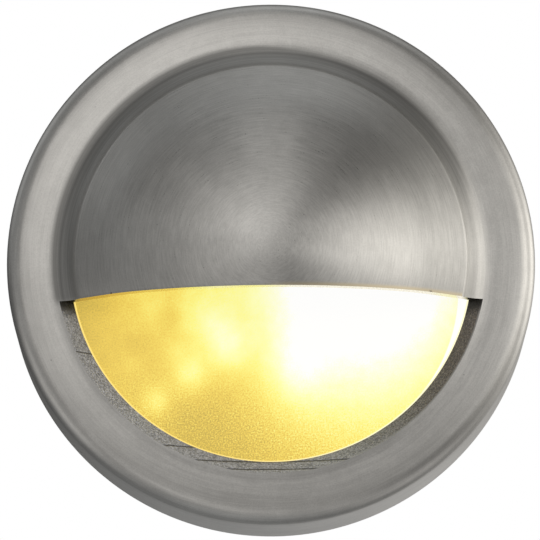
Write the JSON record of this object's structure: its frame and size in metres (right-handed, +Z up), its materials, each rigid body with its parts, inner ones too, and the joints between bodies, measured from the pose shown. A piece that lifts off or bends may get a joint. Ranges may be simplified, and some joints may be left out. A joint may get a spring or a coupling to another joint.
{
  "type": "eyelid surface light",
  "caption": "Round surface-mounted eyelid wall light: brushed cast cover with a flat brim and half-dome hood over a frosted lit glass, pulled off a base with a bi-pin lamp.",
  "frame": {"origin": "centre of the wall pad's back face, which meets the wall", "axes": "+Y into the wall, so the light faces -Y; +Z up, with the hood above; +X to the right seen from in front"},
  "size_m": [0.108, 0.0418, 0.108],
  "materials": {
    "brushed_steel": "satin, brushed in rings, as cast inside the window",
    "frosted_glass": "acid frosted, lit from behind",
    "clear_silicone": "translucent",
    "zinc_steel": "zinc plated",
    "stainless_screw": "satin",
    "black_foam": "closed-cell foam",
    "cast_aluminium": "turned casting",
    "black_rubber": "smooth",
    "hammered_aluminium": "bright, hammered",
    "ceramic": "glazed steatite",
    "brass": "plain",
    "moulded_nylon": "moulded",
    "lead_sleeve": "silicone sleeve",
    "quartz": "clear quartz",
    "pin_metal": "plain",
    "tungsten": "lit"
  },
  "bodies": {
    "base": {"wall_pad": "black_foam", "base_plate": "cast_aluminium", "base_spigot": "cast_aluminium", "body_o_ring": "black_rubber", "cable_grommet": "black_rubber", "reflector": "hammered_aluminium", "reflector_screws": "stainless_screw", "lampholder": "ceramic", "lampholder_contacts": "brass", "lampholder_strap": "zinc_steel", "strap_screws": "stainless_screw", "terminal_block": "moulded_nylon", "terminal_clamps": "brass", "terminal_screws": "zinc_steel", "terminal_fixing_screw": "stainless_screw", "lead_inner": "lead_sleeve", "lead_outer": "lead_sleeve"},
    "cover": {"eyelid_cover": "brushed_steel", "lens": "frosted_glass", "lens_gasket": "clear_silicone", "lens_ring": "zinc_steel", "lens_ring_screws": "stainless_screw", "set_screws": "stainless_screw"},
    "lamp": {"lamp_capsule": "quartz", "lamp_pins": "pin_metal", "lamp_filament": "tungsten"}
  },
  "joints": [
    {"name": "cover_pull", "type": "slide", "parent": "base", "child": "cover", "axis": [0, -1, 0], "range_m": [0, 0.06]},
    {"name": "lamp_pull", "type": "slide", "parent": "base", "child": "lamp", "axis": [1, 0, 0], "range_m": [0, 0.0075]}
  ]
}
